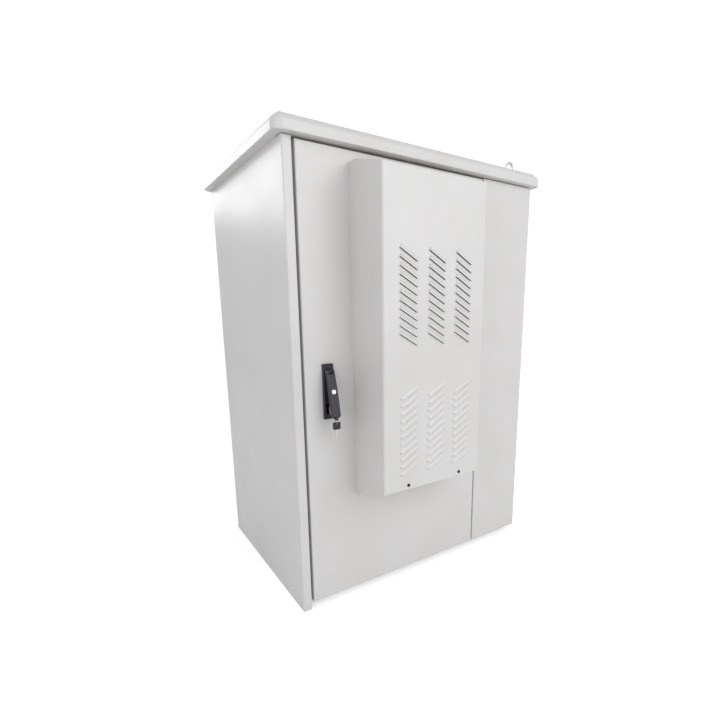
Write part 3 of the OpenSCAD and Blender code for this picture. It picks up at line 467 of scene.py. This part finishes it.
def socket_input(tree, name, kind, value):
    socket = tree.interface.new_socket(name=name, in_out="INPUT", socket_type=kind)
    if value is not None:
        socket.default_value = value
    return socket.identifier


def grid_tree():
    tree = bpy.data.node_groups.new("piece_on_a_grid", "GeometryNodeTree")
    tree.interface.new_socket(name="Geometry", in_out="OUTPUT", socket_type="NodeSocketGeometry")
    ids = {name: socket_input(tree, name, kind, value) for name, kind, value in (
        ("Piece", "NodeSocketObject", None),
        ("Width", "NodeSocketFloat", 1.0), ("Height", "NodeSocketFloat", 1.0),
        ("Columns", "NodeSocketInt", 2), ("Rows", "NodeSocketInt", 2),
        ("Centre", "NodeSocketVector", (0, 0, 0)), ("Turn", "NodeSocketVector", (0, 0, 0)),
        ("Material", "NodeSocketMaterial", None))}
    takes, gives = tree.nodes.new("NodeGroupInput"), tree.nodes.new("NodeGroupOutput")
    grid = tree.nodes.new("GeometryNodeMeshGrid")
    for name, label in (("Width", "Size X"), ("Height", "Size Y"),
                        ("Columns", "Vertices X"), ("Rows", "Vertices Y")):
        tree.links.new(takes.outputs[name], grid.inputs[label])
    moved = tree.nodes.new("GeometryNodeTransform")
    tree.links.new(grid.outputs["Mesh"], moved.inputs["Geometry"])
    tree.links.new(takes.outputs["Centre"], moved.inputs["Translation"])
    tree.links.new(takes.outputs["Turn"], moved.inputs["Rotation"])
    source = tree.nodes.new("GeometryNodeObjectInfo")
    tree.links.new(takes.outputs["Piece"], source.inputs["Object"])
    copies = tree.nodes.new("GeometryNodeInstanceOnPoints")
    tree.links.new(moved.outputs["Geometry"], copies.inputs["Points"])
    tree.links.new(source.outputs["Geometry"], copies.inputs["Instance"])
    real = tree.nodes.new("GeometryNodeRealizeInstances")
    tree.links.new(copies.outputs["Instances"], real.inputs["Geometry"])
    coated = tree.nodes.new("GeometryNodeSetMaterial")
    tree.links.new(real.outputs["Geometry"], coated.inputs["Geometry"])
    tree.links.new(takes.outputs["Material"], coated.inputs["Material"])
    tree.links.new(coated.outputs["Geometry"], gives.inputs["Geometry"])
    return tree, ids


pattern_tree, pattern_ids = grid_tree()


def on_grid(name, work, material, counts, centre, spans, turned):
    template = made_mesh(name + "_one", work, material)
    piece = bpy.data.objects.new(name, bpy.data.meshes.new(name))
    bpy.context.scene.collection.objects.link(piece)
    pattern = piece.modifiers.new("pattern", "NODES")
    pattern.node_group = pattern_tree
    for label, value in (("Piece", template), ("Width", spans[0]), ("Height", spans[1]),
                         ("Columns", counts[0]), ("Rows", counts[1]), ("Centre", centre),
                         ("Turn", turned), ("Material", material)):
        pattern[pattern_ids[label]] = value
    baked(piece)
    bpy.data.objects.remove(template)
    return piece


screw_low, screw_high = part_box("rear_screws")
screw_mid = (screw_low + screw_high) / 2
screw_face = screw_high.y - screw_height * mm
screw_work = bmesh.new()
screw_rings = spun(screw_work, screw_outline, screw_steps, lambda u, v, w: Vector((u, w, v)))
rim = screw_rings[-1]
socket_turn = 360 / socket_sides
mouth = [screw_work.verts.new((screw_socket * mm * math.cos(math.radians(socket_turn * k)), screw_height * mm,
                               screw_socket * mm * math.sin(math.radians(socket_turn * k))))
         for k in range(socket_sides)]
floor_ring = [screw_work.verts.new((v.co.x * socket_taper, v.co.y - screw_socket_depth * mm,
                                    v.co.z * socket_taper)) for v in mouth]
steps_per_side = screw_steps / socket_sides
for k in range(screw_steps):
    n = (k + 1) % screw_steps
    near, after = [mouth[round(step / steps_per_side) % socket_sides] for step in (k, n)]
    if near is after:
        screw_work.faces.new((rim[k], near, rim[n]))
    else:
        screw_work.faces.new((rim[k], near, after, rim[n]))
for k in range(socket_sides):
    n = (k + 1) % socket_sides
    screw_work.faces.new((mouth[k], floor_ring[k], floor_ring[n], mouth[n]))
screw_work.faces.new(floor_ring)
screw_spans = (screw_high.x - screw_low.x - screw_head_width * mm,
               screw_high.z - screw_low.z - screw_head_width * mm)
rear_screws = on_grid("rear_screws_finish", screw_work, bright_zinc, screw_counts,
                      (screw_mid.x, screw_face, screw_mid.z), screw_spans, (math.radians(90), 0, 0))
placed(rear_screws, "cabinet", "zinc_steel", "rear_screws")


# ---- Base and floor ----
# A galvanised channel frame carries the cabinet. A plate above it is the
# floor, with a smaller plate for cables that come up from the ground.
eased("base_frame", galvanised, 0.8 * mm)
for plate in ("floor_plate", "gland_plate"):
    eased(plate, galvanised, 0.3 * mm)


# ---- Moulded plastic and rubber ----
# Small mouldings have a fine spark-eroded grain; rubber and foam are matt,
# with open cells that swallow the light.
def grain_group():
    group, takes, gives = socketed_group(
        "moulded_grain",
        [("Color", "NodeSocketColor", (0.02, 0.02, 0.022, 1)), ("Grain Scale", "NodeSocketFloat", 1500.0),
         ("Grain Depth", "NodeSocketFloat", 0.25), ("Gloss Low", "NodeSocketFloat", 0.4),
         ("Gloss High", "NodeSocketFloat", 0.55), ("Tone", "NodeSocketFloat", 0.2)],
        [("Color", "NodeSocketColor"), ("Roughness", "NodeSocketFloat"), ("Normal", "NodeSocketVector")])
    coords = group.nodes.new("ShaderNodeTexCoord").outputs["Object"]
    pits = group.nodes.new("ShaderNodeTexVoronoi")
    group.links.new(coords, pits.inputs["Vector"])
    group.links.new(takes.outputs["Grain Scale"], pits.inputs["Scale"])
    group.links.new(bumped(group, pits.outputs["Distance"], takes.outputs["Grain Depth"], 0.15 * mm),
                    gives.inputs["Normal"])
    cloud = noise(group, coords, 40.0, 3.0)
    group.links.new(ramped(group, cloud, 0.35, 0.65, takes.outputs["Gloss Low"], takes.outputs["Gloss High"]),
                    gives.inputs["Roughness"])
    lighter = add(group, "ShaderNodeMix", data_type="RGBA", blend_type="ADD")
    lighter.inputs["Factor"].default_value = 1.0
    group.links.new(takes.outputs["Color"], lighter.inputs["A"])
    lighter.inputs["B"].default_value = (0.03, 0.03, 0.032, 1)
    share = add(group, "ShaderNodeMath", operation="MULTIPLY")
    group.links.new(ramped(group, cloud, 0.3, 0.7, 0, 1), share.inputs[0])
    group.links.new(takes.outputs["Tone"], share.inputs[1])
    group.links.new(blended(group, share.outputs[0], takes.outputs["Color"], lighter.outputs["Result"]),
                    gives.inputs["Color"])
    return group


moulded_grain = grain_group()
black_plastic = surfaced("black_polyamide", moulded_grain, {"Color": (0.022, 0.022, 0.024, 1)})
seal_rubber = surfaced("foam_rubber", moulded_grain,
                       {"Color": (0.024, 0.024, 0.025, 1), "Grain Scale": 700.0, "Grain Depth": 0.6,
                        "Gloss Low": 0.75, "Gloss High": 0.9, "Tone": 0.5})
terminal_grey = surfaced("grey_polyamide", moulded_grain, {"Color": (0.30, 0.31, 0.31, 1), "Tone": 0.1})
insulator_red = surfaced("red_polyester", moulded_grain,
                         {"Color": (0.36, 0.025, 0.018, 1), "Grain Scale": 500.0, "Gloss Low": 0.3,
                          "Gloss High": 0.42})
eased("gland_grommets", seal_rubber, 0.8 * mm)


# ---- Sealing frame and fixed front strip ----
# The frame that the door closes on has a raised rain lip round its opening.
# Right of the door, a fixed folded strip makes up the width.
eased("front_frame", powder_coat, 0.4 * mm)
eased("fixed_front_panel", powder_coat, 0.5 * mm)


# ---- Hinges ----
# Three inside hinges: a bracket screwed to the frame reaches through a notch
# in the door's edge, and a pin joins it to two lugs welded in the door.
for part in ("hinge_brackets", "hinge_lugs"):
    eased(part, bright_zinc, 0.5 * mm)
for part in ("hinge_screws", "hinge_pins"):
    eased(part, bright_zinc, 0.3 * mm)


# ---- Door ----
# A folded tray with a seal flange all round, cut out for the cooling unit
# and for the handle, and stiffened by two hat sections.
eased("door_panel", powder_coat, 0.5 * mm)
eased("door_stiffeners", galvanised, 0.4 * mm)
eased("door_gasket", seal_rubber, 2.0 * mm, 3)
eased("document_pocket", black_plastic, 0.8 * mm)


# ---- Swing handle ----
# A die-cast base with a long lever that shuts down over it. The lever stands
# out a little here, and its lock cylinder sits below the pivot.
handle_black = surfaced("black_die_casting", sprayed_film,
                        {"Color": (0.017, 0.015, 0.025, 1), "Peel Scale": 900.0, "Peel Depth": 0.1,
                         "Gloss Low": 0.28, "Gloss High": 0.38, "Tone": 0.3})
nickel = surfaced("nickel_plate", worked_metal,
                  {"Color": (0.62, 0.60, 0.57, 1), "Spangle": 0.0, "Gloss Low": 0.14, "Gloss High": 0.24,
                   "Grain": 0.03}, 1.0)
eased("handle_base", handle_black, 1.2 * mm, 3)
eased("handle_lever", handle_black, 1.2 * mm, 3)
eased("lever_pin", bright_zinc, 0.3 * mm)
eased("lever_catch", nickel, 0.4 * mm)
eased("lock_cylinder", nickel, 0.5 * mm)


# ---- Key ----
# A wire ring through the lever's tip carries the key by its plastic head.
eased("key_ring", nickel, 0.1 * mm)
eased("key_head", black_plastic, 0.8 * mm, 3)
eased("key_blade", nickel, 0.2 * mm)


# ---- Rod lock ----
# The spindle turns a crank disc behind the door, and its two pins drive flat
# rods up and down in plastic guides.
eased("handle_spindle", handle_black, 0.6 * mm)
for part in ("crank_disc", "upper_rod", "lower_rod"):
    eased(part, bright_zinc, 0.4 * mm)
eased("rod_guides", black_plastic, 0.8 * mm)


# ---- Cooling unit ----
# A deep sheet-metal hood with sloping ends and pressed louvres covers the
# outer half of an air-to-air cooler that passes through the door.
black_screw = surfaced("black_oxide", worked_metal,
                       {"Color": (0.02, 0.02, 0.022, 1), "Spangle": 0.0, "Gloss Low": 0.3,
                        "Gloss High": 0.42}, 0.6)
core_alloy = surfaced("rolled_aluminium", worked_metal,
                      {"Color": (0.80, 0.81, 0.82, 1), "Spangle": 0.0, "Gloss Low": 0.25,
                       "Gloss High": 0.4}, 1.0)
eased("climate_cover", powder_coat, 0.5 * mm)
eased("cover_screws", black_screw, 0.4 * mm)
eased("cover_posts", bright_zinc, 0.2 * mm)
for part in ("climate_housing", "fan_plate"):
    eased(part, galvanised, 0.4 * mm)
eased("exchanger_core", core_alloy, 0.05 * mm, 1)
for part in ("outer_fan_frame", "inner_fan_frame", "outer_fan_rotor", "inner_fan_rotor"):
    eased(part, black_plastic, 0.4 * mm)
eased("climate_controller", galvanised, 0.8 * mm)


# ---- Rack ----
# Four punched rails on cross beams, set to the 19-inch pitch, with a shelf,
# a cable ladder, and a terminal rail and earth bar beside them.
copper = surfaced("copper_bar", worked_metal,
                  {"Color": (0.78, 0.38, 0.24, 1), "Spangle": 0.0, "Gloss Low": 0.22, "Gloss High": 0.4}, 1.0)
for part in ("rack_beams", "rail_front_left", "rail_front_right", "rail_rear_left", "rail_rear_right",
             "equipment_shelf", "cable_ladder", "din_rail"):
    eased(part, galvanised, 0.3 * mm)
eased("terminal_blocks", terminal_grey, 0.4 * mm)
eased("earth_bar", copper, 0.4 * mm)
eased("earth_insulators", insulator_red, 0.8 * mm)
